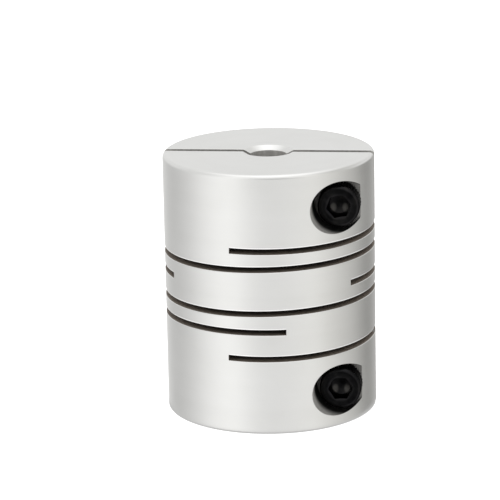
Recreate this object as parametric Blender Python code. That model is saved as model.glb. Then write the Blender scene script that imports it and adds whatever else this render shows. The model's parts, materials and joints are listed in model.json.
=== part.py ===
"""Beam coupling, clamp type, six parallel slits: 25 mm outside diameter, 31 mm long.

The real body is one piece of aluminium. It bends only where a slit leaves a narrow bridge (a flexure web), so
it is modelled as the rigid portions between the slits and the six webs that join them:

    upper hub    upper_front_jaw, upper_rear_jaw   (split by the clamping slit)
    flex_web_1 ... flex_web_6                      (top to bottom, one for each slit)
    beam_disc_1 ... beam_disc_5                    (top to bottom, between the slits)
    lower hub    lower_front_jaw, lower_rear_jaw
    upper_clamp_screw, lower_clamp_screw           (socket head cap screws)

Empties mark the joints: they chain upwards from the lower hub, and every piece has its origin on its parent.

Frame: metres, +Z along the bore, origin at the middle of the body. Front is -Y, where the screw heads are;
the screws lie on the +X side. Sizes below are in millimetres.
"""

import math
from typing import NamedTuple

import bmesh
import bpy
from mathutils import Matrix, Vector

MM = 0.001

# ---- body ----
OUTER_R = 12.5
LENGTH = 31.0
HALF = LENGTH / 2
TOP_RIM_R = 0.5         # rounding of the upper outer rim
TOP_RIM_STEPS = 4
BOTTOM_RIM_R = 0.25     # rounding of the lower outer rim
BOTTOM_RIM_STEPS = 3
BORE_R = 2.2
SINK_W = 0.8            # countersink at both mouths, measured along the radius
SINK_DEPTH = 0.45       # and along the axis: about 120 degrees included
BODY_SEGMENTS = 96
BORE_SEGMENTS = 32

# ---- slits ----
SLIT_W = 0.65           # every cross slit
CLAMP_SLIT_W = 0.9      # the clamping cut between the jaws
SLIT_TILT = 0.0201      # slope of every cross slit (1.15 degrees), across its opening direction
WEB_GAP = 0.02          # gap between a web and the portions it joins

PLUS_X, MINUS_X, PLUS_Y, MINUS_Y = (1, 0), (-1, 0), (0, 1), (0, -1)


class Slit(NamedTuple):
    z: float            # height of the middle
    opening: tuple      # side it opens to
    end: float          # from the coupling's axis to the chord the saw stops at, beyond the axis
    turn: float         # how far the end is out of square, degrees


SLITS = (               # top to bottom
    Slit(6.72, PLUS_X, 3.45, 0.0),
    Slit(4.33, MINUS_Y, 6.90, 0.0),
    Slit(1.68, PLUS_Y, 6.92, -2.0),
    Slit(-0.94, MINUS_Y, 6.90, 0.0),
    Slit(-3.44, MINUS_X, 3.05, 0.0),
    Slit(-6.15, PLUS_X, 3.75, 0.0),
)

# ---- clamps and screws ----
CLAMP_ROOT_X = -8.0     # where each rear jaw hinges
SCREW_X = 8.9           # screw axes, parallel to Y
SCREW_Z_UPPER = 10.9
SCREW_Z_LOWER = -11.1
CBORE_R = 3.05          # counterbore for the head
CBORE_FLOOR_Y = -5.45   # seat under the head
CLEAR_R = 1.65          # clearance hole; also the outline of the tapped hole in the rear jaw
HEAD_R = 2.5            # M3 socket head, small pattern
HEAD_H = 3.0
HEAD_CHAMFER = 0.25
SEAT_GAP = 0.02         # between the head and its seat
SHANK_R = 1.45
SHANK_L = 12.0
TIP_TAPER_R = 0.4       # taper of the shank's tip, along the radius
TIP_TAPER_L = 0.5       # and along the axis
SOCKET_AF = 2.5         # hexagon socket across flats
SOCKET_DEPTH = 1.4
SCREW_SEGMENTS = 48

# ---- overruns that let the cutters pass right through ----
TRIM_REACH = OUTER_R + 2
WEB_TRIM_REACH = OUTER_R + 4
END_OVERRUN = 2.0       # trimming block beyond the body's ends
BLANK_OVERRUN = 0.5     # blank beyond the slit's middle, before trimming
WEB_BLANK_HALF = 1.0    # half height of a web's blank
HOLE_OVERRUN = 2.0      # screw hole cutter beyond y = 0
SOCKET_OVERRUN = 1.0    # socket cutter beyond the head's top

SMOOTH_ANGLE = 35       # edges sharper than this stay sharp, degrees


# ---- scene and materials ----
def clear_scene():
    for ob in list(bpy.data.objects):
        bpy.data.objects.remove(ob, do_unlink=True)
    for mesh in list(bpy.data.meshes):
        bpy.data.meshes.remove(mesh)


def material(name, colour, metallic, roughness):
    mat = bpy.data.materials.new(name)
    mat.use_nodes = True
    shader = mat.node_tree.nodes["Principled BSDF"]
    shader.inputs["Base Color"].default_value = (*colour, 1.0)
    shader.inputs["Metallic"].default_value = metallic
    shader.inputs["Roughness"].default_value = roughness
    mat.diffuse_color = (*colour, 1.0)
    return mat


# ---- shapes, drawn in millimetres and stored in metres ----
def add_side(bm, lower, upper):
    """Faces joining two loops of vertices."""
    count = len(lower)
    for i in range(count):
        j = (i + 1) % count
        bm.faces.new((lower[i], lower[j], upper[j], upper[i]))


def solid(name, loops, place=Matrix.Identity(4)):
    """A closed solid through loops of points, bottom to top."""
    bm = bmesh.new()
    rings = [[bm.verts.new(point) for point in loop] for loop in loops]
    for lower, upper in zip(rings, rings[1:]):
        add_side(bm, lower, upper)
    bm.faces.new(list(reversed(rings[0])))
    bm.faces.new(rings[-1])
    bmesh.ops.transform(bm, matrix=Matrix.Scale(MM, 4) @ place, verts=bm.verts)
    bmesh.ops.recalc_face_normals(bm, faces=bm.faces)
    mesh = bpy.data.meshes.new(name)
    bm.to_mesh(mesh)
    bm.free()
    ob = bpy.data.objects.new(name, mesh)
    bpy.context.scene.collection.objects.link(ob)
    return ob


def revolve(name, stations, segments, place=Matrix.Identity(4)):
    """A solid of revolution about local Z from (radius, distance) stations."""
    angles = [2 * math.pi * i / segments for i in range(segments)]
    loops = [[(radius * math.cos(a), radius * math.sin(a), distance) for a in angles]
             for radius, distance in stations]
    return solid(name, loops, place)


def screw_frame(z):
    """Local Z along world +Y, on the screw axis at height z."""
    return Matrix.Translation((SCREW_X, 0, z)) @ Matrix.Rotation(math.radians(-90), 4, "X")


def quarter_turn(steps):
    return [math.radians(90 * i / steps) for i in range(steps + 1)]


def blank(name, bottom, top, rim_bottom=False, rim_top=False):
    """The turned bar between two heights, without its bore."""
    stations = [(OUTER_R, bottom)]
    if rim_bottom:
        centre_r, centre_z = OUTER_R - BOTTOM_RIM_R, bottom + BOTTOM_RIM_R
        stations = [(centre_r + BOTTOM_RIM_R * math.sin(a), centre_z - BOTTOM_RIM_R * math.cos(a))
                    for a in quarter_turn(BOTTOM_RIM_STEPS)]
    if rim_top:
        centre_r, centre_z = OUTER_R - TOP_RIM_R, top - TOP_RIM_R
        stations += [(centre_r + TOP_RIM_R * math.cos(a), centre_z + TOP_RIM_R * math.sin(a))
                     for a in quarter_turn(TOP_RIM_STEPS)]
    else:
        stations.append((OUTER_R, top))
    return revolve(name, stations, BODY_SEGMENTS)


def block(name, x_range, y_range, lower, upper, turn=0.0, about=(0.0, 0.0)):
    """A block between two planes z(x, y), its sides turned about a point by some degrees."""
    (x0, x1), (y0, y1) = x_range, y_range
    cos, sin = math.cos(math.radians(turn)), math.sin(math.radians(turn))
    ax, ay = about
    plan = [(ax + cos * (x - ax) - sin * (y - ay), ay + sin * (x - ax) + cos * (y - ay))
            for x, y in ((x0, y0), (x1, y0), (x1, y1), (x0, y1))]
    return solid(name, [[(x, y, plane(x, y)) for x, y in plan] for plane in (lower, upper)])


def slit_plane(slit, offset):
    """Middle plane of a slit, raised by offset. It leans across the direction the slit opens to."""
    open_x, open_y = slit.opening
    return lambda x, y: slit.z + offset + SLIT_TILT * (open_x * y - open_y * x)


def level_plane(z):
    return lambda x, y: z


def boolean(ob, cutter, operation):
    cutter.display_type = "WIRE"
    cutter.hide_render = True
    mod = ob.modifiers.new(operation.lower(), "BOOLEAN")
    mod.operation = operation
    mod.solver = "EXACT"
    mod.object = cutter


# ---- joints ----
def pivot_empty(name, place, parent=None):
    """An empty at a place in the coupling's frame; it keeps that place, in metres, as "pivot"."""
    empty = bpy.data.objects.new(name, None)
    bpy.context.scene.collection.objects.link(empty)
    empty.empty_display_size = 0.004    # metres
    pivot = Vector(place) * MM
    empty["pivot"] = tuple(pivot)
    empty.parent = parent
    empty.location = pivot - (Vector(parent["pivot"]) if parent else Vector())
    return empty


def web_pivot(slit):
    """Middle of the web, radially, on the side away from the slit's opening."""
    open_x, open_y = slit.opening
    middle = (slit.end + OUTER_R) / 2
    return -middle * open_x, -middle * open_y, slit.z


def finish(ob, mat, parent):
    """Gives a piece its material and smoothing, and an origin on the empty that holds it."""
    ob.data.materials.append(mat)
    ob.data.transform(Matrix.Translation(-Vector(parent["pivot"])))
    ob.parent = parent
    ob.data.shade_smooth()
    ob.data.set_sharp_from_angle(angle=math.radians(SMOOTH_ANGLE))


# ---- pieces ----
def make_bore_cutter():
    """The bore with a cone at each end, which cuts the countersinks."""
    wide = BORE_R + 2 * SINK_W
    return revolve("cut_bore", [
        (wide, -HALF - SINK_DEPTH),
        (BORE_R, -HALF + SINK_DEPTH),
        (BORE_R, HALF - SINK_DEPTH),
        (wide, HALF + SINK_DEPTH),
    ], BORE_SEGMENTS)


def make_disc(number, above, below, mat, parent, bore_cutter):
    """The portion between two slits."""
    disc = blank(f"beam_disc_{number}", below.z - BLANK_OVERRUN, above.z + BLANK_OVERRUN)
    sides = (-TRIM_REACH, TRIM_REACH)
    trim = block(f"trim_disc_{number}", sides, sides,
                 slit_plane(below, SLIT_W / 2), slit_plane(above, -SLIT_W / 2))
    boolean(disc, trim, "INTERSECT")
    boolean(disc, bore_cutter, "DIFFERENCE")
    finish(disc, mat, parent)


def make_web(number, slit, mat, parent):
    """The bridge left standing behind a slit."""
    web = blank(f"flex_web_{number}", slit.z - WEB_BLANK_HALF, slit.z + WEB_BLANK_HALF)
    # Along the opening direction the block stops at the slit's end; elsewhere it passes the body.
    ranges = [(slit.end if way < 0 else -WEB_TRIM_REACH, -slit.end if way > 0 else WEB_TRIM_REACH)
              for way in slit.opening]
    half_height = SLIT_W / 2 - WEB_GAP
    trim = block(f"trim_web_{number}", *ranges,
                 slit_plane(slit, -half_height), slit_plane(slit, half_height),
                 turn=slit.turn, about=[-slit.end * way for way in slit.opening])
    boolean(web, trim, "INTERSECT")
    finish(web, mat, parent)


def make_jaw(name, upper, front, screw_z, mat, parent, bore_cutter):
    """Half of a clamp hub, on one side of the clamping slit."""
    if upper:
        slit = SLITS[0]
        heights = slit.z - BLANK_OVERRUN, HALF
        planes = slit_plane(slit, SLIT_W / 2), level_plane(HALF + END_OVERRUN)
    else:
        slit = SLITS[-1]
        heights = -HALF, slit.z + BLANK_OVERRUN
        planes = level_plane(-HALF - END_OVERRUN), slit_plane(slit, -SLIT_W / 2)

    if front:
        y_range = -TRIM_REACH, -CLAMP_SLIT_W / 2
        # Counterbore and clearance hole in one stepped cutter.
        hole = [(CBORE_R, -TRIM_REACH), (CBORE_R, CBORE_FLOOR_Y),
                (CLEAR_R, CBORE_FLOOR_Y), (CLEAR_R, HOLE_OVERRUN)]
    else:
        y_range = CLAMP_SLIT_W / 2, TRIM_REACH
        hole = [(CLEAR_R, -HOLE_OVERRUN), (CLEAR_R, TRIM_REACH)]

    jaw = blank(name, *heights, rim_bottom=not upper, rim_top=upper)
    boolean(jaw, bore_cutter, "DIFFERENCE")
    trim = block(f"trim_{name}", (-TRIM_REACH, TRIM_REACH), y_range, *planes)
    boolean(jaw, trim, "INTERSECT")
    cutter = revolve(f"cut_{name}_screw", hole, SCREW_SEGMENTS, screw_frame(screw_z))
    boolean(jaw, cutter, "DIFFERENCE")
    finish(jaw, mat, parent)


def make_screw(end, z, mat, parent):
    """Socket head cap screw: head at the front, shank along +Y."""
    seat = CBORE_FLOOR_Y - SEAT_GAP
    top = seat - HEAD_H
    tip = seat + SHANK_L
    screw = revolve(f"{end}_clamp_screw", [
        (HEAD_R - HEAD_CHAMFER, top),
        (HEAD_R, top + HEAD_CHAMFER),
        (HEAD_R, seat),
        (SHANK_R, seat),
        (SHANK_R, tip - TIP_TAPER_L),
        (SHANK_R - TIP_TAPER_R, tip),
    ], SCREW_SEGMENTS, screw_frame(z))
    corner_r = SOCKET_AF / 2 / math.cos(math.radians(30))
    socket = revolve(f"cut_{end}_socket",
                     [(corner_r, top - SOCKET_OVERRUN), (corner_r, top + SOCKET_DEPTH)],
                     6, screw_frame(z))
    boolean(screw, socket, "DIFFERENCE")
    finish(screw, mat, parent)


def build():
    clear_scene()
    aluminium = material("satin_aluminium", colour=(0.60, 0.60, 0.58), metallic=1.0, roughness=0.32)
    steel = material("black_oxide_steel", colour=(0.012, 0.012, 0.013), metallic=0.6, roughness=0.38)

    # carriers[k] moves what lies just above slit k; the last one is the lower hub.
    count = len(SLITS)
    carriers = [None] * count + [pivot_empty("lower_hub_pivot", (0, 0, 0))]
    for k in reversed(range(count)):
        carriers[k] = pivot_empty(f"flex_{k + 1}_pivot", web_pivot(SLITS[k]), carriers[k + 1])

    bore_cutter = make_bore_cutter()
    for k in range(count - 1):
        make_disc(k + 1, SLITS[k], SLITS[k + 1], aluminium, carriers[k + 1], bore_cutter)
    for k, slit in enumerate(SLITS):
        make_web(k + 1, slit, aluminium, carriers[k + 1])   # carried by the portion under it

    for end, z, hub in (("upper", SCREW_Z_UPPER, carriers[0]), ("lower", SCREW_Z_LOWER, carriers[-1])):
        upper = end == "upper"
        clamp = pivot_empty(f"{end}_clamp_pivot", (CLAMP_ROOT_X, 0, z), hub)
        screw_turn = pivot_empty(f"{end}_screw_pivot", (SCREW_X, 0, z), hub)
        make_jaw(f"{end}_front_jaw", upper, True, z, aluminium, hub, bore_cutter)
        make_jaw(f"{end}_rear_jaw", upper, False, z, aluminium, clamp, bore_cutter)
        make_screw(end, z, steel, screw_turn)


build()
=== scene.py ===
"""Beam coupling: a satin turned aluminium body with leaning saw cuts, and two black oxide socket
head cap screws with knurled heads and modelled threads, on a plain white floor.

The body's axis is Z and its middle is at the origin. The front is -Y, where the screw heads are;
both screws run along +Y. Sizes are in mm and become metres when a mesh is made."""
import json
import math

import bmesh
import bpy
import numpy as np
from mathutils import Matrix, Vector

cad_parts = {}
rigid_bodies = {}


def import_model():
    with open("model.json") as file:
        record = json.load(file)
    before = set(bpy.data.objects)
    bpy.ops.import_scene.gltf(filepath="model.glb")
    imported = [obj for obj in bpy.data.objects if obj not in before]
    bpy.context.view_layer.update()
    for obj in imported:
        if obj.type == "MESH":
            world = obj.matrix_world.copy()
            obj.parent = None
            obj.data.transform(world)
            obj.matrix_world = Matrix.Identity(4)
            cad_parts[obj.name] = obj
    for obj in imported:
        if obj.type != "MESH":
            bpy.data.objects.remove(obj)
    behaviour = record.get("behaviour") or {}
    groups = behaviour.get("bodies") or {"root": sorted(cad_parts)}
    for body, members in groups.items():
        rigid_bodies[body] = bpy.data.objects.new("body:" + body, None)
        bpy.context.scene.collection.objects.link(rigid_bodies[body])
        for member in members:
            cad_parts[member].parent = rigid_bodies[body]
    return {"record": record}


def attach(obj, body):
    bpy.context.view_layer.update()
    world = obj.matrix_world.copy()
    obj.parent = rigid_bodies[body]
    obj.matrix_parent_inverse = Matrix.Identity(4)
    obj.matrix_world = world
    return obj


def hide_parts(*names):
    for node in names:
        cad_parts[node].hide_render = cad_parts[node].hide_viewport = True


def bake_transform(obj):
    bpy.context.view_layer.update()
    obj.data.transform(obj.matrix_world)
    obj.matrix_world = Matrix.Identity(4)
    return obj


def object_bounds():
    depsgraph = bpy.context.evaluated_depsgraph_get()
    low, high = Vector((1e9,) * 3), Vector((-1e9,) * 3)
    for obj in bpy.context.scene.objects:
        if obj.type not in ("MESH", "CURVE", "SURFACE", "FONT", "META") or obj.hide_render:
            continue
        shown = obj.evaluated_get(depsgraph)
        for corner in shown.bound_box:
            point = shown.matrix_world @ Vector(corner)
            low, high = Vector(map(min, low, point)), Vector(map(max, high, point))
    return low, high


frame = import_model()
cad_lo, cad_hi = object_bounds()

MM = 0.001
PI = math.pi
JOINTS = {j["name"]: j for j in frame["record"]["behaviour"]["joints"]}


def joint_place(name, axis):
    """One coordinate of a joint, in mm; axis 0 is x and 2 is z."""
    return JOINTS[name]["pos_m"][axis] / MM


# ------------------------------------------------------------------------------------------------
# Sizes, in mm
# ------------------------------------------------------------------------------------------------
BODY_R = cad_hi.x / MM
HALF_HEIGHT = cad_hi.z / MM
TOP_RIM = 0.5                   # radii of the round rims
BOTTOM_RIM = 0.25
BORE_R = 2.2
BORE_BREAK = 0.03               # broken edge where a disc meets the bore
SINK_W = 0.8                    # countersink at both mouths: along the radius
SINK_D = 0.45                   # and along the axis
SINK_BREAK = 0.025

# Saw cuts, from the top down
SLIT = 0.69                     # height of a cut
SLIT_UP = 0.03                  # how far a cut's middle stands above its joint
TILT = 0.0201                   # slope of every cut
# open side (x, y), distance of the straight end past the axis, skew of that end in degrees
SLITS = (
    ((1, 0), 3.45, 0.0),
    ((0, -1), 6.90, 0.0),
    ((0, 1), 6.92, -2.0),
    ((0, -1), 6.90, 0.0),
    ((-1, 0), 3.05, 0.0),
    ((1, 0), 3.75, 0.0),
)
SLIT_Z = tuple(joint_place(f"flex_{k + 1}", 2) + SLIT_UP for k in range(len(SLITS)))
OVER_CUT = (0.046, 0.125)       # broken edge above a cut: along the radius and along the axis
UNDER_CUT = (0.045, 0.045)      # and under it
FADE = 0.06                     # a broken edge grows from nothing over this distance

# Clamps and their holes
CLAMP_SLIT = 1.0
JAW_BREAK = 0.020               # broken edge along the clamping cut
SCREW_X = joint_place("upper_screw_turn", 0)
SCREW_Z = {word: joint_place(f"{word}_screw_turn", 2) for word in ("upper", "lower")}
CBORE_R = 3.05                  # counterbore
CBORE_FLOOR = -5.45
CLEAR_R = 1.65                  # clearance hole
HOLE_BREAK = 0.12               # bevel in the corners of the screw holes
TAPPED_R = 1.76                 # just outside the tapped hole and its mouth

# Screws
HEAD_R = 2.46
HEAD_H = 3.0
SEAT = CBORE_FLOOR - 0.02       # underside of the head
HEAD_TOP = SEAT - HEAD_H        # the head's outer face
SHANK_L = 12.0
PITCH = 0.5
THREAD_STEP = PITCH / 6

AROUND = 384
MERGE = 2e-8                    # metres
SMOOTH_DEG = 30
SCREW_SMOOTH_DEG = 38


# ------------------------------------------------------------------------------------------------
# The saw cuts' shape
# ------------------------------------------------------------------------------------------------
def slit_slope(k):
    """Lean of slit k's plane, dz/dx and dz/dy: it rises a quarter turn on from the open side."""
    open_x, open_y = SLITS[k][0]
    return -open_y * TILT, open_x * TILT


def slit_z(k, x, y, offset):
    slope_x, slope_y = slit_slope(k)
    return SLIT_Z[k] + offset + slope_x * x + slope_y * y


def slit_chord(k):
    """The straight end of slit k: its direction towards the open side, and its middle."""
    (open_x, open_y), end, skew = SLITS[k]
    cos, sin = math.cos(math.radians(skew)), math.sin(math.radians(skew))
    direction = (cos * open_x - sin * open_y, sin * open_x + cos * open_y)
    return direction, (-open_x * end, -open_y * end)


def depth_into_slit(k, x, y):
    """How far (x, y) stands beyond slit k's straight end; negative over the web."""
    (dir_x, dir_y), (mid_x, mid_y) = slit_chord(k)
    return (x - mid_x) * dir_x + (y - mid_y) * dir_y


def edge_break(k, x, y, size):
    """The broken edge beside slit k at (x, y), along radius and axis: it dies out at the web."""
    share = min(max(depth_into_slit(k, x, y) / FADE, 0.0), 1.0)
    return size[0] * share, size[1] * share


def sample_angles(slits):
    """Even angles, with extra ones where each slit's broken edge starts and is full."""
    angles = [2 * PI * i / AROUND for i in range(AROUND)]
    for k in slits:
        (dir_x, dir_y), (mid_x, mid_y) = slit_chord(k)
        for depth in (0.0, FADE):
            reach = math.acos((mid_x * dir_x + mid_y * dir_y + depth) / BODY_R)
            angles += [(math.atan2(dir_y, dir_x) + t) % (2 * PI) for t in (reach, -reach)]
    distinct = []
    for angle in sorted(angles):
        if not distinct or angle - distinct[-1] > 1e-4:
            distinct.append(angle)
    return distinct


# ------------------------------------------------------------------------------------------------
# Mesh helpers
# ------------------------------------------------------------------------------------------------
def add_object(name, data):
    ob = bpy.data.objects.new(name, data)
    bpy.context.scene.collection.objects.link(ob)
    return ob


def make_object(name, verts, faces, materials, face_materials=None):
    mesh = bpy.data.meshes.new(name)
    mesh.from_pydata([(x * MM, y * MM, z * MM) for x, y, z in verts], [], faces)
    for material in materials:
        mesh.materials.append(material)
    if face_materials is not None:
        mesh.polygons.foreach_set("material_index", face_materials)
    mesh.update()
    return add_object(name, mesh)


def clean(ob):
    """Merges coincident points, drops faces without area and points every face outwards."""
    bm = bmesh.new()
    bm.from_mesh(ob.data)
    bmesh.ops.remove_doubles(bm, verts=bm.verts, dist=MERGE)
    bmesh.ops.dissolve_degenerate(bm, edges=bm.edges, dist=MERGE)
    bmesh.ops.recalc_face_normals(bm, faces=bm.faces)
    bm.to_mesh(ob.data)
    bm.free()
    ob.data.update()


def smooth_by_angle(ob, degrees):
    ob.data.shade_smooth()
    ob.data.set_sharp_from_angle(angle=math.radians(degrees))


def grid_solid(columns, closed):
    """Verts and quads of columns of closed profiles; closed joins the last column to the first."""
    count, size = len(columns), len(columns[0])
    verts = [point for column in columns for point in column]
    faces = []
    for i in range(count if closed else count - 1):
        j = (i + 1) % count
        for a in range(size):
            b = (a + 1) % size
            faces.append((i * size + a, j * size + a, j * size + b, i * size + b))
    return verts, faces


def stacked_solid(rings, size):
    """Quads between rings of size points, bottom up, then the first and last rings' caps."""
    faces = []
    for s in range(rings - 1):
        for i in range(size):
            j = (i + 1) % size
            faces.append((s * size + i, s * size + j, (s + 1) * size + j, (s + 1) * size + i))
    faces.append(tuple(reversed(range(size))))
    faces.append(tuple((rings - 1) * size + i for i in range(size)))
    return faces


def turned(name, stations, segments, material, screw_z, reshape=None):
    """A solid of revolution on a screw's axis, from (radius, y) stations.

    reshape(station number, radius, angle, y) may change the radius."""
    place = Matrix.Translation((SCREW_X, 0, screw_z)) @ Matrix.Rotation(math.radians(-90), 4, "X")
    verts = []
    for s, (radius, along) in enumerate(stations):
        for i in range(segments):
            angle = 2 * PI * i / segments
            r = reshape(s, radius, angle, along) if reshape else radius
            point = Vector((r * math.cos(angle), r * math.sin(angle), along))
            verts.append(tuple(place @ point))
    return make_object(name, verts, stacked_solid(len(stations), segments), [material])


def subtract(ob, cutter):
    """Cuts cutter out of ob and removes it."""
    clean(cutter)
    mod = ob.modifiers.new("cut", "BOOLEAN")
    mod.operation = "DIFFERENCE"
    mod.solver = "EXACT"
    mod.object = cutter
    graph = bpy.context.evaluated_depsgraph_get()
    mesh = bpy.data.meshes.new_from_object(
        ob.evaluated_get(graph), preserve_all_data_layers=True, depsgraph=graph)
    ob.modifiers.clear()
    old = ob.data
    ob.data = mesh
    bpy.data.meshes.remove(old)
    bpy.data.objects.remove(cutter, do_unlink=True)


# ------------------------------------------------------------------------------------------------
# Node helpers
# ------------------------------------------------------------------------------------------------
class Nodes:
    """Writes nodes into a tree; most methods return the new node's output socket."""

    def __init__(self, tree):
        self.tree = tree

    def add(self, kind, **settings):
        node = self.tree.nodes.new(kind)
        for key, value in settings.items():
            setattr(node, key, value)
        return node

    def link(self, source, target):
        self.tree.links.new(source, target)

    def calc(self, operation, *values, clamp=False):
        node = self.add("ShaderNodeMath", operation=operation, use_clamp=clamp)
        for i, value in enumerate(values):
            if isinstance(value, (int, float)):
                node.inputs[i].default_value = value
            else:
                self.link(value, node.inputs[i])
        return node.outputs[0]

    def linear(self, value, gain, offset, clamp=False):
        return self.calc("ADD", self.calc("MULTIPLY", value, gain), offset, clamp=clamp)

    def weighted_sum(self, first, *rest):
        """Sum of (value, weight) pairs."""
        term = self.calc("MULTIPLY", *first)
        return self.calc("ADD", term, self.weighted_sum(*rest)) if rest else term

    def sum_of_squares(self, a, b):
        return self.calc("ADD", self.calc("MULTIPLY", a, a), self.calc("MULTIPLY", b, b))

    def split(self, vector):
        """The x, y and z of a vector."""
        node = self.add("ShaderNodeSeparateXYZ")
        self.link(vector, node.inputs[0])
        return tuple(node.outputs)

    def coordinate(self, kind="Object"):
        return self.add("ShaderNodeTexCoord").outputs[kind]

    def ramp(self, factor, stops, interpolation="LINEAR"):
        """Stops are (position, grey level or colour)."""
        node = self.add("ShaderNodeValToRGB")
        node.color_ramp.interpolation = interpolation
        elements = node.color_ramp.elements
        while len(elements) > 1:
            elements.remove(elements[-1])
        for i, (position, color) in enumerate(stops):
            element = elements[0] if i == 0 else elements.new(position)
            element.position = position
            if isinstance(color, (int, float)):
                color = (color, color, color)
            element.color = (*color, 1.0)
        self.link(factor, node.inputs[0])
        return node.outputs[0]

    def noise(self, at, scale, detail, roughness, dims="3D"):
        node = self.add("ShaderNodeTexNoise", noise_dimensions=dims)
        node.inputs["Scale"].default_value = scale
        node.inputs["Detail"].default_value = detail
        node.inputs["Roughness"].default_value = roughness
        self.link(at, node.inputs["W" if dims == "1D" else "Vector"])
        return node.outputs[0]

    def mix(self, factor, a, b):
        """Mix of two colours; 6 and 7 are the Mix node's colour inputs."""
        node = self.add("ShaderNodeMix", data_type="RGBA")
        if isinstance(factor, (int, float)):
            node.inputs[0].default_value = factor
        else:
            self.link(factor, node.inputs[0])
        for i, value in ((6, a), (7, b)):
            if isinstance(value, tuple):
                node.inputs[i].default_value = (*value, 1.0)
            else:
                self.link(value, node.inputs[i])
        return node.outputs[2]

    def finish(self, color, metallic, roughness, specular=None):
        """Sets the main inputs of the tree's Principled shader and returns its inputs."""
        inputs = self.tree.nodes["Principled BSDF"].inputs
        self.link(color, inputs["Base Color"])
        inputs["Metallic"].default_value = metallic
        self.link(roughness, inputs["Roughness"])
        if specular is not None:
            inputs["Specular IOR Level"].default_value = specular
        return inputs

    def bump(self, height, strength, distance):
        """Bumps the Principled shader; distance is in mm."""
        node = self.add("ShaderNodeBump")
        node.inputs["Strength"].default_value = strength
        node.inputs["Distance"].default_value = distance
        self.link(height, node.inputs["Height"])
        self.link(node.outputs[0], self.tree.nodes["Principled BSDF"].inputs["Normal"])

    def emission(self, strength):
        node = self.add("ShaderNodeEmission")
        node.inputs[0].default_value = (1, 1, 1, 1)
        node.inputs[1].default_value = strength
        return node.outputs[0]


def new_material(name):
    material = bpy.data.materials.new(name)
    material.use_nodes = True
    return material, Nodes(material.node_tree)


# ------------------------------------------------------------------------------------------------
# Materials. Noise scales are per metre, bump distances in metres.
# ------------------------------------------------------------------------------------------------
def satin_aluminium():
    """Turned, then satin finished: fine rings, a soft grain over them, faint handling marks."""
    material, nodes = new_material("satin_turned_aluminium")
    at = nodes.coordinate()
    x, y, z = nodes.split(at)
    # radius plus height runs along the turned profile, so marks ring the wall and the end faces
    along = nodes.calc("ADD", nodes.calc("SQRT", nodes.sum_of_squares(x, y)), z)
    rings = nodes.noise(along, scale=5200.0, detail=3.0, roughness=0.7, dims="1D")
    feed = nodes.noise(along, scale=420.0, detail=2.0, roughness=0.5, dims="1D")
    grain = nodes.noise(at, scale=9000.0, detail=3.0, roughness=0.6)
    cloud = nodes.noise(at, scale=160.0, detail=3.0, roughness=0.55)
    tone = nodes.weighted_sum((cloud, 0.5), (feed, 0.3), (grain, 0.2))
    color = nodes.ramp(tone, [
        (0.30, (0.800, 0.800, 0.786)),
        (0.50, (0.835, 0.835, 0.822)),
        (0.70, (0.860, 0.860, 0.850)),
    ])
    nodes.finish(color, metallic=1.0, roughness=nodes.linear(tone, gain=0.10, offset=0.255))
    height = nodes.weighted_sum((rings, 0.6), (grain, 0.4))
    nodes.bump(height, strength=0.10, distance=0.00002)
    return material


def blade_marks(nodes, at, squeeze):
    """Straight marks from the blade, squeezed along one axis."""
    mapping = nodes.add("ShaderNodeMapping")
    mapping.inputs["Scale"].default_value = squeeze
    nodes.link(at, mapping.inputs[0])
    marks = nodes.noise(mapping.outputs[0], scale=2600.0, detail=3.0, roughness=0.6)
    nodes.bump(marks, strength=0.3, distance=0.00003)
    return marks


def cut_aluminium():
    """The saw-cut walls: dull and slightly brown, with blade marks and painted shade that darkens
    them further in.
    """
    material, nodes = new_material("saw_cut_aluminium")
    at = nodes.coordinate()
    marks = blade_marks(nodes, at, squeeze=(1.0, 1.0, 8.0))
    color = nodes.ramp(marks, [(0.3, (0.265, 0.228, 0.198)), (0.7, (0.365, 0.322, 0.283))])
    x, y, _ = nodes.split(at)
    radius = nodes.calc("SQRT", nodes.sum_of_squares(x, y))
    # 0 at the body's wall, 1 from 4 mm inside it
    inward = nodes.calc("MULTIPLY", nodes.calc("SUBTRACT", BODY_R * MM, radius), 1 / (4 * MM),
                        clamp=True)
    # painted shade: darker towards black further inside the cut
    shade = nodes.ramp(inward, [(0.0, 1.0), (0.20, 0.85), (0.45, 0.40), (0.70, 0.22)])
    nodes.finish(
        nodes.mix(shade, (0.0, 0.0, 0.0), color), metallic=0.35, specular=0.2,
        roughness=nodes.linear(marks, gain=0.15, offset=0.50))
    return material


def jaw_cut_aluminium():
    """The walls of the clamping cut: a duller grey, with blade marks."""
    material, nodes = new_material("clamping_cut_aluminium")
    marks = blade_marks(nodes, nodes.coordinate(), squeeze=(1.0, 8.0, 1.0))
    color = nodes.ramp(marks, [(0.3, (0.40, 0.392, 0.375)), (0.7, (0.52, 0.51, 0.49))])
    nodes.finish(color, metallic=0.6, roughness=nodes.linear(marks, gain=0.15, offset=0.42))
    return material


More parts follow.
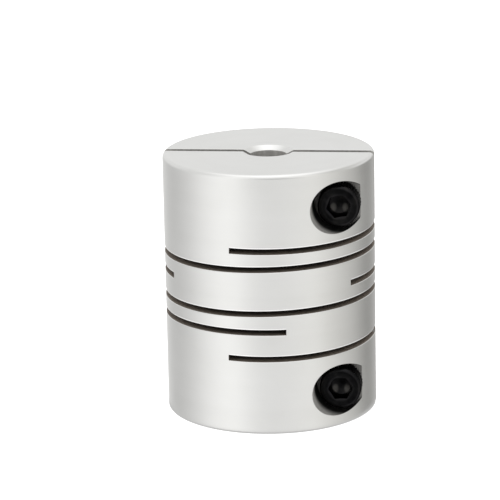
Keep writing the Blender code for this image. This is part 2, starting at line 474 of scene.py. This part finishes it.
def bored_aluminium():
    """The bored faces: rings round the screw's axis, with painted shade deep in the counterbore
    beside the screw heads and on the seat.
    """
    material, nodes = new_material("bored_aluminium")
    at = nodes.coordinate()
    _, y, _ = nodes.split(at)
    rings = nodes.noise(y, scale=6500.0, detail=3.0, roughness=0.6, dims="1D")
    grain = nodes.noise(at, scale=5200.0, detail=3.0, roughness=0.6)
    tone = nodes.weighted_sum((rings, 0.6), (grain, 0.4))
    color = nodes.ramp(tone, [(0.3, (0.50, 0.49, 0.47)), (0.7, (0.64, 0.63, 0.61))])
    # 0 at 12.5 mm in front of the body's axis, 1 at the axis
    deep = nodes.linear(y, gain=80.0, offset=1.0)
    # painted shade: near black in the deep gap round each head, half dark on the seat and the
    # start of the clearance hole
    painted_gap_shade = nodes.ramp(deep, [
        (0.26, 1.0), (0.38, 0.06), (0.552, 0.06), (0.558, 0.45), (0.62, 0.45), (0.78, 1.0),
    ])
    nodes.finish(
        nodes.mix(painted_gap_shade, (0.0, 0.0, 0.0), color), metallic=0.6, specular=0.3,
        roughness=nodes.linear(tone, gain=0.15, offset=0.50))
    nodes.bump(tone, strength=0.35, distance=0.00003)
    return material


def socket_painted_highlights(nodes, at, fine):
    """Mask of two oval painted highlights on the floor of each socket, either side of the screw's
    axis: lighter spots that stand in for the floor's reflections.
    """
    offset_x = 0.70 * MM        # from the screw's axis
    offset_z = -0.46
    half_width = 0.42 * MM
    half_height = 0.60 * MM
    floor_y = (HEAD_TOP + 1.25) * MM
    x, y, z = nodes.split(at)
    from_axis = nodes.calc("ABSOLUTE", nodes.calc("SUBTRACT", x, SCREW_X * MM))
    across = nodes.calc("SUBTRACT", from_axis, offset_x)
    spot_z = nodes.linear(
        nodes.calc("GREATER_THAN", z, 0.0),
        gain=(SCREW_Z["upper"] - SCREW_Z["lower"]) * MM,
        offset=(SCREW_Z["lower"] + offset_z) * MM)
    up = nodes.calc("SUBTRACT", z, spot_z)
    across = nodes.calc("DIVIDE", across, half_width)
    up = nodes.calc("DIVIDE", up, half_height)
    spot = nodes.calc("SUBTRACT", 1.0, nodes.sum_of_squares(across, up), clamp=True)
    on_floor = nodes.calc("GREATER_THAN", y, floor_y)
    grainy = nodes.calc("MULTIPLY", spot, nodes.linear(fine, gain=0.8, offset=0.6), clamp=True)
    return nodes.calc("MULTIPLY", grainy, on_floor)


def black_oxide():
    """Black oxide on alloy steel: near black, a little brown in patches, with painted shade on the
    end faces and painted highlights on the socket floor.
    """
    material, nodes = new_material("black_oxide_steel")
    at = nodes.coordinate()
    _, normal_y, _ = nodes.split(nodes.add("ShaderNodeNewGeometry").outputs["Normal"])
    # 1 on faces that look along the screw; these get painted shade, a darker colour than the sides
    facing = nodes.calc("SUBTRACT", nodes.calc("ABSOLUTE", normal_y), 0.86)
    end = nodes.calc("MULTIPLY", facing, 10.0, clamp=True)
    cloud = nodes.noise(at, scale=700.0, detail=4.0, roughness=0.6)
    fine = nodes.noise(at, scale=9000.0, detail=2.0, roughness=0.6)
    side_color = nodes.ramp(cloud, [
        (0.35, (0.014, 0.014, 0.015)),
        (0.60, (0.024, 0.023, 0.024)),
        (0.80, (0.040, 0.036, 0.033)),
    ])
    # painted shade: the end faces get this darker colour
    shaded_end_color = nodes.ramp(cloud, [
        (0.35, (0.004, 0.004, 0.0044)),
        (0.55, (0.009, 0.009, 0.0092)),
        (0.75, (0.020, 0.019, 0.018)),
    ])
    # painted highlights: two lighter oval spots on each socket floor
    socket_highlights = socket_painted_highlights(nodes, at, fine)
    color = nodes.mix(socket_highlights, nodes.mix(end, side_color, shaded_end_color), (0.070, 0.067, 0.063))
    inputs = nodes.finish(
        color, metallic=1.0, roughness=nodes.linear(cloud, gain=0.16, offset=0.26))
    inputs["Specular Tint"].default_value = (0.35, 0.35, 0.35, 1.0)
    height = nodes.weighted_sum((fine, 0.6), (cloud, 0.4))
    nodes.bump(height, strength=0.25, distance=0.00002)
    return material


def edge_painted_highlight():
    """The upper lip of each saw cut: a painted highlight, brighter in colour than the wall, and
    smoother.
    """
    material, nodes = new_material("edge_painted_highlight")
    edge_mottle = nodes.noise(nodes.coordinate(), scale=900.0, detail=3.0, roughness=0.6)
    # painted highlight: a brighter colour than the satin wall
    color = nodes.ramp(edge_mottle, [(0.3, (0.90, 0.90, 0.89)), (0.7, (0.98, 0.98, 0.97))])
    nodes.finish(color, metallic=1.0, roughness=nodes.linear(edge_mottle, gain=0.12, offset=0.14))
    return material


SATIN = satin_aluminium()
CUT = cut_aluminium()
JAW_CUT = jaw_cut_aluminium()
BORED = bored_aluminium()
BLACK = black_oxide()
EDGE = edge_painted_highlight()


# ------------------------------------------------------------------------------------------------
# Exact normals: turned and bored faces shade round, sawn and faced ones flat
# ------------------------------------------------------------------------------------------------
def hole_radii(points, screw_z):
    """Offsets (x, z) of points from a screw's axis, and their lengths."""
    offsets = points[:, (0, 2)] - np.array([SCREW_X, screw_z])
    return offsets, np.hypot(offsets[:, 0], offsets[:, 1])


def hole_normals(points, normal, screw_z):
    """Round normals for a face of the counterbore or clearance hole; None for other faces."""
    slack = 0.13                # takes in the bevels
    offsets, radii = hole_radii(points, screw_z)
    wide = math.hypot(normal[0], normal[2])
    if not (radii.max() < CBORE_R + 0.01 and radii.min() > 1e-6 and wide > 0.05
            and radii.max() - radii.min() < slack
            and any(np.all(abs(radii - hole) < slack) for hole in (CBORE_R, CLEAR_R))):
        return None
    outward = offsets / radii[:, None]
    facing = normal[0] * outward[:, 0].mean() + normal[2] * outward[:, 1].mean()
    sign = 1.0 if facing > 0 else -1.0
    along = np.full(len(points), normal[1])
    return np.array([sign * wide * outward[:, 0], along, sign * wide * outward[:, 1]]).T


def rim_normals(points, normal, rim):
    """Normals of the round rim; None for other faces."""
    x, y, z = points.T
    radii = np.hypot(x, y)
    if abs(normal[2]) >= 0.9999 or radii.min() <= BODY_R - rim - 1e-3:
        return None
    out = radii - (BODY_R - rim)
    up = np.abs(z) - (HALF_HEIGHT - rim)
    if not (np.all(up > -1e-3) and np.all(abs(np.hypot(out, up) - rim) < 2e-3)):
        return None
    return np.array([x / radii * out, y / radii * out, np.sign(z) * np.maximum(up, 0)]).T / rim


def turned_normals(points, normal):
    """The face's normal swung round Z to each point; flat for end faces and wide faces."""
    if abs(normal[2]) > 0.995:
        return normal
    middle = points.mean(0)
    swing = np.arctan2(points[:, 1], points[:, 0]) - math.atan2(middle[1], middle[0])
    swing = (swing + PI) % (2 * PI) - PI
    if np.abs(swing).max() > math.radians(3):
        return normal
    cos, sin = np.cos(swing), np.sin(swing)
    return np.array([normal[0] * cos - normal[1] * sin, normal[0] * sin + normal[1] * cos,
                     normal[2] + 0 * swing]).T


def exact_normals(ob, screw_z=None, rim=None, threaded=False):
    mesh = ob.data
    places = np.empty(len(mesh.vertices) * 3)
    mesh.vertices.foreach_get("co", places)
    places = places.reshape(-1, 3) / MM
    corners = np.empty(len(mesh.loops), int)
    mesh.loops.foreach_get("vertex_index", corners)
    normals = np.zeros((len(corners), 3))
    for poly in mesh.polygons:
        span = slice(poly.loop_start, poly.loop_start + poly.loop_total)
        points, normal = places[corners[span]], np.array(poly.normal)
        if threaded and hole_radii(points, screw_z)[1].max() < TAPPED_R:
            continue            # zero leaves the tapped hole its automatic normals
        found = None
        if screw_z is not None:
            found = hole_normals(points, normal, screw_z)
        if found is None and rim is not None:
            found = rim_normals(points, normal, rim)
        normals[span] = turned_normals(points, normal) if found is None else found
    mesh.normals_split_custom_set(normals.tolist())


# ------------------------------------------------------------------------------------------------
# Beam discs and the webs between them
# ------------------------------------------------------------------------------------------------
def disc(k):
    """Disc k stands between slit k above and slit k + 1 below."""
    columns = []
    for angle in sample_angles((k, k + 1)):
        cos, sin = math.cos(angle), math.sin(angle)

        def bottom(radius, lift=0.0):
            x, y = radius * cos, radius * sin
            return x, y, slit_z(k + 1, x, y, SLIT / 2) + lift

        def top(radius, drop=0.0):
            x, y = radius * cos, radius * sin
            return x, y, slit_z(k, x, y, -SLIT / 2) - drop

        wall = (BODY_R * cos, BODY_R * sin)
        bottom_in, bottom_up = edge_break(k + 1, *wall, OVER_CUT)
        top_in, top_down = edge_break(k, *wall, UNDER_CUT)
        columns.append([
            bottom(BORE_R, lift=BORE_BREAK),
            bottom(BORE_R + BORE_BREAK),
            bottom(BODY_R - bottom_in),
            bottom(BODY_R, lift=bottom_up),
            top(BODY_R, drop=top_down),
            top(BODY_R - top_in),
            top(BORE_R + BORE_BREAK),
            top(BORE_R, drop=BORE_BREAK),
        ])
    verts, faces = grid_solid(columns, closed=True)
    # sawn underside, lower edge with its painted highlight, sawn top; the rest is satin
    slots = [{1: 1, 2: 2, 5: 1}.get(a, 0) for _ in columns for a in range(8)]
    ob = make_object(f"coupling_disc_{k + 1}", verts, faces, [SATIN, CUT, EDGE], slots)
    clean(ob)
    smooth_by_angle(ob, SMOOTH_DEG)
    exact_normals(ob)
    return ob


def web(k):
    """The bridge behind slit k: a segment of the cylinder, built in layers."""
    levels, across = 8, 24
    arc = [a for a in sample_angles((k,))
           if depth_into_slit(k, BODY_R * math.cos(a), BODY_R * math.sin(a)) < 1e-7]
    (dir_x, dir_y), _ = slit_chord(k)
    middle = math.atan2(-dir_y, -dir_x)
    arc.sort(key=lambda a: (a - middle + PI) % (2 * PI))
    outline = [(BODY_R * math.cos(a), BODY_R * math.sin(a)) for a in arc]
    (x0, y0), (x1, y1) = outline[-1], outline[0]
    for i in range(1, across):
        t = i / across
        outline.append((x0 + (x1 - x0) * t, y0 + (y1 - y0) * t))
    verts = []
    for level in range(levels + 1):
        offset = -SLIT / 2 + SLIT * level / levels
        verts += [(x, y, slit_z(k, x, y, offset)) for x, y in outline]
    faces = stacked_solid(levels + 1, len(outline))
    slots = [0 if i < len(arc) - 1 else 1 for _ in range(levels) for i in range(len(outline))]
    slots += [0, 0]
    ob = make_object(f"coupling_web_{k + 1}", verts, faces, [SATIN, CUT], slots)
    clean(ob)
    smooth_by_angle(ob, SMOOTH_DEG)
    exact_normals(ob)
    return ob


# ------------------------------------------------------------------------------------------------
# Threads
# ------------------------------------------------------------------------------------------------
def thread_wave(angle, along):
    """0 to 1 across one turn of the thread: a V with small flats."""
    flat = 0.12
    turn = (along / PITCH - angle / (2 * PI)) % 1.0
    triangle = 1 - abs(2 * turn - 1)
    return min(max((triangle - flat) / 0.76, 0.0), 1.0)


def tapped_hole_cutter(screw_z):
    """The tapped hole in the rear jaw, open to both sides; its rear mouth is plain."""
    crest, root, mouth = 1.56, 1.72, 1.75
    start, end = -1.0, 6.25
    steps = int((end - start) / THREAD_STEP)
    stations = [(crest, start + (end - start) * i / steps) for i in range(steps + 1)]
    stations += [(mouth, end + 0.12), (mouth, 11.5)]

    def reshape(s, radius, angle, along):
        if s <= steps:
            return crest + (root - crest) * thread_wave(angle, along)
        return radius

    return turned("cutter", stations, 48, SATIN, screw_z, reshape)


# ------------------------------------------------------------------------------------------------
# Clamp jaws: each is half of a turned hub, split by the clamping cut
# ------------------------------------------------------------------------------------------------
def inset_profile(points, distance):
    """A closed profile moved inwards by distance."""
    count = len(points)
    following = points[1:] + points[:1]
    area = sum(p[0] * q[1] - q[0] * p[1] for p, q in zip(points, following))
    sign = 1.0 if area > 0 else -1.0

    def edge_normal(start, end):
        edge = end - start
        return sign * np.array([-edge[1], edge[0]]) / max(np.linalg.norm(edge), 1e-9)

    moved = []
    for i in range(count):
        before, here, after = (np.array(points[j]) for j in (i - 1, i, (i + 1) % count))
        normal = edge_normal(before, here)
        miter = normal + edge_normal(here, after)
        miter = miter / max(np.linalg.norm(miter), 1e-9)
        moved.append(tuple(here + miter * distance / max(miter @ normal, 0.35)))
    return moved


def hub_profile(upper, place):
    """(radius, z) points round the hub's section; place(radius) gives x, y on this column."""
    k = 0 if upper else len(SLITS) - 1
    sign = 1 if upper else -1
    rim, rim_steps = (TOP_RIM, 12) if upper else (BOTTOM_RIM, 8)

    def cut(radius):
        return slit_z(k, *place(radius), sign * SLIT / 2)

    edge_r, edge_z = edge_break(k, *place(BODY_R), OVER_CUT if upper else UNDER_CUT)
    points = [
        (BORE_R, cut(BORE_R)),
        (BODY_R - edge_r, cut(BODY_R - edge_r)),
        (BODY_R, cut(BODY_R) + sign * edge_z),
    ]
    for i in range(rim_steps + 1):
        t = PI / 2 * i / rim_steps
        points.append((BODY_R - rim + rim * math.cos(t),
                       sign * (HALF_HEIGHT - rim + rim * math.sin(t))))
    bevel, drop = SINK_BREAK, SINK_BREAK * SINK_D / SINK_W
    return points + [
        (BORE_R + SINK_W + bevel, sign * HALF_HEIGHT),
        (BORE_R + SINK_W - bevel, sign * (HALF_HEIGHT - drop)),
        (BORE_R + bevel, sign * (HALF_HEIGHT - SINK_D + drop)),
        (BORE_R, sign * (HALF_HEIGHT - SINK_D - 1.5 * bevel)),
    ]


def jaw_column(upper, front, t, shift=0.0, inset=0.0):
    """The hub's section at t in 0..1 across the half; shift moves the ends off the cut."""
    side = -1 if front else 1

    def place(radius):
        start = math.asin(min(1.0, (CLAMP_SLIT / 2 + shift) / radius))
        angle = start + (PI - 2 * start) * t
        return radius * math.cos(angle), side * radius * math.sin(angle)

    points = hub_profile(upper, place)
    if inset:
        points = inset_profile(points, inset)
    return [(*place(radius), z) for radius, z in points]


def screw_hole_cutter(screw_z):
    """The counterbore and clearance hole in the front jaw."""
    stations = [
        (CBORE_R, -BODY_R - 2),
        (CBORE_R, CBORE_FLOOR - HOLE_BREAK),
        (CBORE_R - HOLE_BREAK, CBORE_FLOOR),
        (CLEAR_R + HOLE_BREAK, CBORE_FLOOR),
        (CLEAR_R, CBORE_FLOOR + HOLE_BREAK),
        (CLEAR_R, 2.0),
    ]
    return turned("cutter", stations, 96, SATIN, screw_z)


def is_screw_hole(points, screw_z):
    """Whether a face of the front jaw lies in the counterbore or the clearance hole."""
    radii = [math.hypot(p.x - SCREW_X, p.z - screw_z) for p in points]
    if max(radii) >= CBORE_R + 0.01:
        return False
    if any(p.y >= -CLAMP_SLIT / 2 - 0.001 and r >= CLEAR_R + 0.01
           for p, r in zip(points, radii)):
        return False            # on the clamping cut
    return max(radii) - min(radii) < 0.01 or all(p.y > CBORE_FLOOR - 0.13 for p in points)


def mark_bored_faces(ob, screw_z, front):
    """Gives the body's bore, the counterbore and the clearance hole their own finish."""
    mesh = ob.data
    mesh.materials.append(BORED)
    slot = len(mesh.materials) - 1
    for poly in mesh.polygons:
        points = [mesh.vertices[v].co / MM for v in poly.vertices]
        in_bore = max(math.hypot(p.x, p.y) for p in points) < BORE_R + 0.01
        if in_bore or (front and is_screw_hole(points, screw_z)):
            poly.material_index = slot


def jaw(word, front):
    upper = word == "upper"
    screw_z = SCREW_Z[word]
    half = AROUND // 2
    columns = [jaw_column(upper, front, 0.0, inset=JAW_BREAK)]
    columns += [jaw_column(upper, front, i / half, shift=JAW_BREAK) for i in range(half + 1)]
    columns += [jaw_column(upper, front, 1.0, inset=JAW_BREAK)]
    size = len(columns[0])
    verts, faces = grid_solid(columns, closed=False)
    # sawn face, then the edge beside it, which has the painted highlight on the upper hub only
    special = {0: 1, 1: 3} if upper else {0: 1}
    slots = [special.get(a, 0) for _ in columns[1:] for a in range(size)]
    faces.append(tuple(reversed(range(size))))
    faces.append(tuple((len(columns) - 1) * size + i for i in range(size)))
    slots += [2, 2]
    name = f"coupling_{word}_{'front' if front else 'rear'}_jaw"
    ob = make_object(name, verts, faces, [SATIN, CUT, JAW_CUT, EDGE], slots)
    clean(ob)
    subtract(ob, screw_hole_cutter(screw_z) if front else tapped_hole_cutter(screw_z))
    clean(ob)
    mark_bored_faces(ob, screw_z, front)
    smooth_by_angle(ob, SMOOTH_DEG)
    exact_normals(ob, screw_z, TOP_RIM if upper else BOTTOM_RIM, threaded=not front)
    return ob


# ------------------------------------------------------------------------------------------------
# Screws
# ------------------------------------------------------------------------------------------------
def cap_screw(name, screw_z, turn_degrees):
    """The head, its hexagon socket turned by turn_degrees, and the threaded shank."""
    shoulder, shoulder_steps = 0.55, 6
    ridges, segments_per_ridge = 40, 6
    major, minor = 1.455, 1.20
    thread_start = SEAT + 0.5
    end = SEAT + SHANK_L
    thread_end = end - 0.45

    stations = []
    for i in range(shoulder_steps + 1):
        t = PI / 2 * i / shoulder_steps
        stations.append((HEAD_R - shoulder + shoulder * math.sin(t),
                         HEAD_TOP + shoulder - shoulder * math.cos(t)))
    side = len(stations)
    stations += [
        (HEAD_R, HEAD_TOP + shoulder + 0.12),       # knurled side
        (HEAD_R, SEAT - 0.30),
        (HEAD_R - 0.12, SEAT - 0.12),               # bevel at the seat
        (HEAD_R - 0.26, SEAT),
        (1.62, SEAT),                               # neck
        (1.46, SEAT + 0.14),
        (1.44, thread_start - 0.08),
    ]
    knurl_depth = {side - 2: 0.02, side - 1: 0.05, side: 0.11, side + 1: 0.11}
    steps = int((thread_end - thread_start) / THREAD_STEP)
    thread = range(len(stations), len(stations) + steps + 1)
    stations += [(major, thread_start + (thread_end - thread_start) * i / steps)
                 for i in range(steps + 1)]
    stations += [(minor, end - 0.12), (minor - 0.14, end)]

    def reshape(s, radius, angle, along):
        if s in knurl_depth:
            groove = 0.5 - 0.5 * math.cos(angle * ridges)
            return radius - knurl_depth[s] * groove ** 2.2
        if s in thread:
            return minor + (major - minor) * thread_wave(angle, along)
        return radius

    ob = turned(name, stations, ridges * segments_per_ridge, BLACK, screw_z, reshape)
    clean(ob)
    cut_socket(ob, screw_z, turn_degrees)
    smooth_by_angle(ob, SCREW_SMOOTH_DEG)
    return ob


def cut_socket(ob, screw_z, turn_degrees):
    """A hexagon socket, a light countersink at its mouth and a drilled cone at its bottom."""
    half_flats = 1.25
    corner = half_flats / math.cos(PI / 6)
    hexagon = turned("cutter", [(corner, HEAD_TOP - 1.0), (corner, HEAD_TOP + 1.45)], 6,
                     BLACK, screw_z)
    hexagon.data.transform(
        Matrix.Translation((SCREW_X * MM, 0, screw_z * MM))
        @ Matrix.Rotation(math.radians(turn_degrees), 4, "Y")
        @ Matrix.Translation((-SCREW_X * MM, 0, -screw_z * MM)))
    subtract(ob, hexagon)
    mouth = 1.56
    stations = [
        (mouth + 0.5, HEAD_TOP - 0.5),
        (mouth, HEAD_TOP),
        (1.20, HEAD_TOP + 0.27),
        (1.18, HEAD_TOP + 1.3),
        (1.10, HEAD_TOP + 1.52),
        (0.02, HEAD_TOP + 2.05),
    ]
    subtract(ob, turned("cutter", stations, 64, BLACK, screw_z))
    clean(ob)


# ------------------------------------------------------------------------------------------------
# Build every piece; fix the discs, front jaws and screws to their bodies
# ------------------------------------------------------------------------------------------------
for k in range(len(SLITS) - 1):
    piece = disc(k)
    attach(piece, f"disc_{k + 1}")
    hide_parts(f"beam_disc_{k + 1}")

for k in range(len(SLITS)):
    piece = web(k)
    joint = JOINTS[f"flex_{k + 1}"]
    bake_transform(piece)
    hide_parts(f"flex_web_{k + 1}")

for word, socket_turn in (("upper", -11.0), ("lower", -3.0)):
    z = SCREW_Z[word]
    joint = JOINTS[f"{word}_clamp_close"]
    piece = jaw(word, front=True)
    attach(piece, joint["parent"])
    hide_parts(f"{word}_front_jaw")

    piece = jaw(word, front=False)
    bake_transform(piece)
    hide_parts(f"{word}_rear_jaw")

    piece = cap_screw(f"{word}_cap_screw", z, socket_turn)
    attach(piece, f"{word}_screw")
    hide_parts(f"{word}_clamp_screw")


# ------------------------------------------------------------------------------------------------
# Stage: a white floor and a painted shadow disc on it. Places are in metres from here on.
# ------------------------------------------------------------------------------------------------
def flat_object(name, outline, z, material):
    mesh = bpy.data.meshes.new(name)
    mesh.from_pydata([(x, y, z) for x, y in outline], [], [tuple(range(len(outline)))])
    mesh.materials.append(material)
    return add_object(name, mesh)


def plain_material(name):
    """A material without its Principled shader, its nodes and its surface input."""
    material, nodes = new_material(name)
    tree = material.node_tree
    tree.nodes.remove(tree.nodes["Principled BSDF"])
    return material, nodes, tree.nodes["Material Output"].inputs[0]


def floor():
    material, nodes, surface = plain_material("white_floor")
    diffuse = nodes.add("ShaderNodeBsdfDiffuse")
    diffuse.inputs[0].default_value = (0.80, 0.80, 0.80, 1)
    glow = nodes.emission(strength=0.88)
    both = nodes.add("ShaderNodeAddShader")
    nodes.link(diffuse.outputs[0], both.inputs[0])
    nodes.link(glow, both.inputs[1])
    nodes.link(both.outputs[0], surface)
    half = 3.0
    outline = [(-half, -half), (half, -half), (half, half), (-half, half)]
    ob = flat_object("floor", outline, -HALF_HEIGHT * MM - 0.00002, material)
    ob.visible_glossy = False


def mirrored_contact_shadow():
    """A painted shadow: a dull disc under the body's foot, standing in for the contact shadow that
    the foot mirrors; seen in reflections only.
    """
    material, nodes, surface = plain_material("mirrored_contact_shadow")
    nodes.link(nodes.emission(strength=0.62), surface)
    count, radius = 96, (BODY_R + 0.7) * MM
    angles = [2 * PI * i / count for i in range(count)]
    outline = [(radius * math.cos(a), radius * math.sin(a)) for a in angles]
    ob = flat_object("mirrored_contact_shadow", outline, -HALF_HEIGHT * MM - 0.00001, material)
    ob.visible_camera = False
    ob.visible_diffuse = False
    ob.visible_shadow = False
    ob.visible_transmission = False


# ------------------------------------------------------------------------------------------------
# World. Tables are (azimuth, brightness): 0 degrees is in front, -Y, and + is towards +X.
# ------------------------------------------------------------------------------------------------
# at and below eye level
LEVEL_RING = [
    (-180, 0.80), (-165, 1.05), (-150, 0.78), (-133, 0.612), (-117, 0.590), (-105, 0.635),
    (-94, 0.70), (-84, 0.77), (-75, 0.875), (-67, 0.957), (-59, 1.005), (-51, 1.075),
    (-44, 1.105), (-37, 1.10), (-30, 1.09), (-23, 0.98), (-16, 0.935), (-10, 0.876),
    (0, 0.849), (10, 0.846), (23, 0.866), (37, 0.89), (51, 0.92), (58, 0.895),
    (65, 0.81), (73, 0.76), (81, 0.69), (89, 0.645), (98, 0.575), (108, 0.528),
    (120, 0.405), (133, 0.29), (150, 0.37), (165, 0.55), (180, 0.80),
]
# between about 10 and 40 degrees above eye level
MIDDLE_RING = [
    (-180, 0.80), (-120, 0.78), (-90, 0.75), (-75, 0.78), (-60, 0.90), (-48, 1.05),
    (-36, 1.18), (-24, 1.08), (-12, 0.86), (0, 0.76), (15, 0.76), (28, 0.90),
    (40, 1.00), (50, 1.00), (62, 0.90), (72, 0.76), (91, 0.58), (120, 0.54),
    (150, 0.65), (180, 0.80),
]
# how much of the dark shape in front shows
DARK_WIDTH = [(-10, 0.0), (4, 1.0), (30, 1.0), (46, 0.0)]


def warm(azimuth, value):
    """A grey as a colour; the room is a touch warmer on the right."""
    rise = min(max((azimuth - 20) / 50, 0.0), 1.0)
    t = rise * min(max((170 - azimuth) / 20, 0.0), 1.0)
    return (value * (1.003 + 0.011 * t), value * (1.001 + 0.004 * t),
            value * (0.993 - 0.020 * t))


def overhead(nodes, x, y, height, middle):
    """Overhead: a bright strip that runs from front to back, between dimmer sides."""
    rise = nodes.ramp(height, [(0.84, 0.0), (0.96, 1.0)], "EASE")
    sides = nodes.mix(rise, middle, (0.99, 0.99, 0.985))
    front = nodes.ramp(
        height, [(0.50, 0.72), (0.60, 0.72), (0.72, 0.85), (0.88, 1.08), (1.0, 1.18)], "EASE")
    back = nodes.ramp(height, [(0.50, 0.79), (0.72, 0.80), (0.86, 1.15), (1.0, 1.20)], "EASE")
    depth = nodes.linear(y, gain=0.5, offset=0.5)
    strip = nodes.mix(nodes.ramp(depth, [(0.45, 0.0), (0.55, 1.0)], "EASE"), front, back)
    strip_x = 0.02
    beside = nodes.calc("ABSOLUTE", nodes.calc("SUBTRACT", x, strip_x))
    across = nodes.ramp(
        beside, [(0.0, 1.0), (0.05, 1.0), (0.12, 0.42), (0.31, 0.20), (0.46, 0.0)])
    return nodes.mix(across, sides, strip)


def studio_color(nodes):
    """The room's brightness in every direction."""
    x, y, z = nodes.split(nodes.coordinate("Generated"))
    # 0 is straight down, 0.5 level and 1 straight up
    height = nodes.linear(z, gain=0.5, offset=0.5)
    azimuth = nodes.calc("ARCTAN2", x, nodes.calc("MULTIPLY", y, -1.0))
    half_turns = nodes.calc("DIVIDE", azimuth, PI)

    def full_turn(stops):
        turns = nodes.calc("ADD", nodes.calc("DIVIDE", azimuth, 2 * PI), 0.5)
        return nodes.ramp(turns, [((a + 180) / 360, value) for a, value in stops])

    # the level ring has too many points for one ramp, so each side has its own
    left = nodes.ramp(nodes.calc("ADD", half_turns, 1.0),
                      [((a + 180) / 180, warm(a, v)) for a, v in LEVEL_RING if a <= 0])
    right = nodes.ramp(half_turns, [(a / 180, warm(a, v)) for a, v in LEVEL_RING if a >= 0])
    level = nodes.mix(nodes.calc("GREATER_THAN", azimuth, 0.0), left, right)
    middle = full_turn([(a, warm(a, v)) for a, v in MIDDLE_RING])
    high = overhead(nodes, x, y, height, middle)

    to_middle = nodes.ramp(height, [(0.50, 0.0), (0.53, 0.0), (0.61, 1.0)], "EASE")
    color = nodes.mix(to_middle, level, middle)
    # an even wall behind
    to_high = nodes.ramp(height, [(0.50, 0.0), (0.68, 0.0), (0.82, 1.0)], "EASE")
    above = nodes.ramp(height, [(0.50, 0.0), (0.58, 1.0)], "EASE")
    depth = nodes.linear(y, gain=0.5, offset=0.5)
    behind = nodes.ramp(depth, [(0.50, 0.0), (0.75, 1.0)], "EASE")
    color = nodes.mix(nodes.calc("MULTIPLY", above, behind), color, (0.825, 0.825, 0.820))
    color = nodes.mix(to_high, color, high)
    # the bright table below, which takes part of its light from each side of the room
    below = nodes.ramp(height, [(0.0, 1.0), (0.22, 1.0), (0.30, 0.0)], "EASE")
    color = nodes.mix(below, color, nodes.mix(0.5, level, (1.24, 1.24, 1.25)))
    # the dark camera and its stand, in front and a little to the right
    tall = nodes.ramp(height, [(0.49, 0.0), (0.515, 1.0), (0.60, 1.0), (0.635, 0.0)])
    shape = nodes.calc("MULTIPLY", tall, full_turn(DARK_WIDTH))
    dark_strength = 0.6
    return nodes.mix(nodes.calc("MULTIPLY", shape, dark_strength), color, (0.05, 0.05, 0.05))


def studio_world():
    """The studio lights and is mirrored; the camera itself sees plain white."""
    world = bpy.data.worlds.new("studio")
    bpy.context.scene.world = world
    world.use_nodes = True
    world.node_tree.nodes.clear()
    nodes = Nodes(world.node_tree)
    output = nodes.add("ShaderNodeOutputWorld")
    studio = nodes.add("ShaderNodeBackground")
    nodes.link(studio_color(nodes), studio.inputs[0])
    studio.inputs[1].default_value = 1.0
    white = nodes.add("ShaderNodeBackground")
    white.inputs[0].default_value = (1, 1, 1, 1)
    light_path = nodes.add("ShaderNodeLightPath")
    choice = nodes.add("ShaderNodeMixShader")
    nodes.link(light_path.outputs["Is Camera Ray"], choice.inputs[0])
    nodes.link(studio.outputs[0], choice.inputs[1])
    nodes.link(white.outputs[0], choice.inputs[2])
    nodes.link(choice.outputs[0], output.inputs[0])


def overhead_box():
    """A square soft box above, aimed at the origin."""
    location = Vector((0.0, -0.02, 0.40))
    light = bpy.data.lights.new("overhead_box", "AREA")
    light.shape = "RECTANGLE"
    light.size = 0.40
    light.size_y = 0.40
    light.energy = 0.10
    ob = add_object("overhead_box", light)
    ob.location = location
    ob.rotation_mode = "QUATERNION"
    ob.rotation_quaternion = (Vector((0, 0, 0)) - location).to_track_quat("-Z", "Y")


def camera():
    """330 mm in front, 16 degrees above and 6 degrees round to the right."""
    distance = 330.14                       # mm
    elevation = math.radians(15.948)
    azimuth = math.radians(6.136)
    roll = math.radians(-1.1116)
    target = Vector((-2.367, 0, 3.385))     # mm, before the turn by azimuth
    place = Vector((0, -distance * math.cos(elevation), distance * math.sin(elevation)))
    forward = (target - place).normalized()
    right = forward.cross(Vector((0, 0, 1))).normalized()
    up = right.cross(forward)
    cos, sin = math.cos(roll), math.sin(roll)
    axes = Matrix((cos * right + sin * up, -sin * right + cos * up, -forward))
    pose = axes.transposed().to_4x4()
    pose.translation = place * MM
    data = bpy.data.cameras.new("camera")
    data.sensor_width = 36.0
    data.lens = 199.2456
    data.clip_start = 0.005
    data.clip_end = 20.0
    ob = add_object("camera", data)
    ob.matrix_world = Matrix.Rotation(azimuth, 4, "Z") @ pose
    bpy.context.scene.camera = ob


floor()
mirrored_contact_shadow()
studio_world()
overhead_box()
camera()
scene = bpy.context.scene
scene.view_settings.view_transform = "Standard"
scene.view_settings.look = "None"
